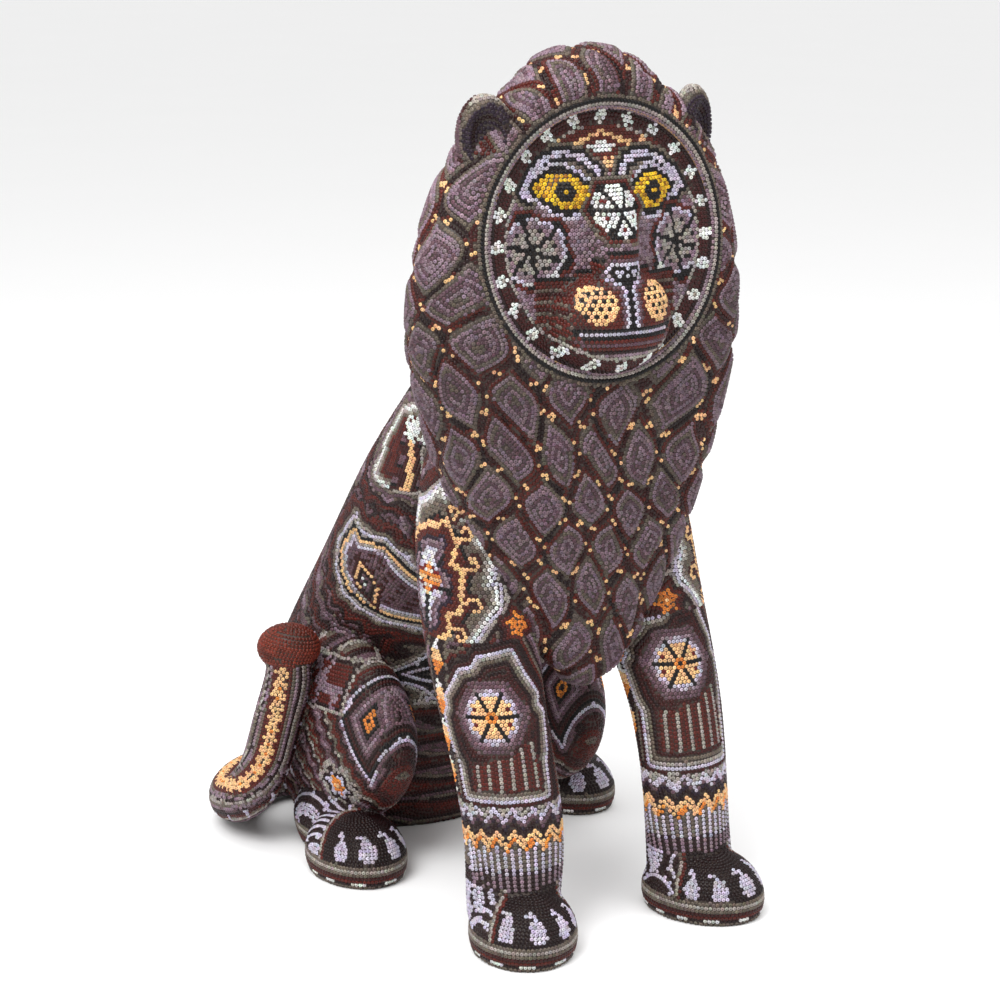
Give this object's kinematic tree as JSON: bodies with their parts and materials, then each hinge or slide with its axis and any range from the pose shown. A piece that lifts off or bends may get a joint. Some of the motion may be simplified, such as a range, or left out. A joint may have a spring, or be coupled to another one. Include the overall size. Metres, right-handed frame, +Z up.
{
  "type": "beaded lion figure",
  "caption": "Seated folk art lion carved in wood, coated with wax and covered all over in small glass beads laid in stepped patterns.",
  "frame": {"origin": "on the ground, under the centre of the bounding box", "axes": "+Z up, the lion faces -Y, its left side is +X"},
  "size_m": [0.2288, 0.3398, 0.447],
  "materials": {
    "carved_wood": "matt, tool marks",
    "dowel_wood": "turned",
    "beeswax": "beeswax and resin, dull",
    "body_beads": "opaque glass seed beads",
    "mane_beads": "opaque glass seed beads",
    "face_beads": "opaque glass seed beads",
    "ear_beads": "opaque glass seed beads",
    "rust_beads": "opaque glass seed beads"
  },
  "bodies": {
    "root": {"chest_beads": "mane_beads", "crown_beads": "mane_beads", "ear_left_beads": "ear_beads", "ear_left_core": "carved_wood", "ear_left_wax": "beeswax", "ear_pins": "dowel_wood", "ear_right_beads": "ear_beads", "ear_right_core": "carved_wood", "ear_right_wax": "beeswax", "face_beads": "face_beads", "face_core": "carved_wood", "face_dowels": "dowel_wood", "face_ring_beads": "face_beads", "face_wax": "beeswax", "foreleg_dowels": "dowel_wood", "foreleg_left_beads": "body_beads", "foreleg_left_core": "carved_wood", "foreleg_left_wax": "beeswax", "foreleg_right_beads": "body_beads", "foreleg_right_core": "carved_wood", "foreleg_right_wax": "beeswax", "front_paw_left_beads": "body_beads", "front_paw_right_beads": "body_beads", "haunch_dowels": "dowel_wood", "haunch_left_beads": "body_beads", "haunch_left_core": "carved_wood", "haunch_left_wax": "beeswax", "haunch_right_beads": "body_beads", "haunch_right_core": "carved_wood", "haunch_right_wax": "beeswax", "hind_paw_dowels": "dowel_wood", "hind_paw_left_beads": "body_beads", "hind_paw_left_core": "carved_wood", "hind_paw_left_wax": "beeswax", "hind_paw_right_beads": "body_beads", "hind_paw_right_core": "carved_wood", "hind_paw_right_wax": "beeswax", "mane_core": "carved_wood", "mane_left_beads": "mane_beads", "mane_right_beads": "mane_beads", "mane_wax": "beeswax", "neck_dowels": "dowel_wood", "tail_beads": "body_beads", "tail_core": "carved_wood", "tail_pins": "dowel_wood", "tail_tuft_beads": "rust_beads", "tail_wax": "beeswax", "torso_core": "carved_wood", "torso_left_beads": "body_beads", "torso_right_beads": "body_beads", "torso_wax": "beeswax"}
  },
  "joints": []
}
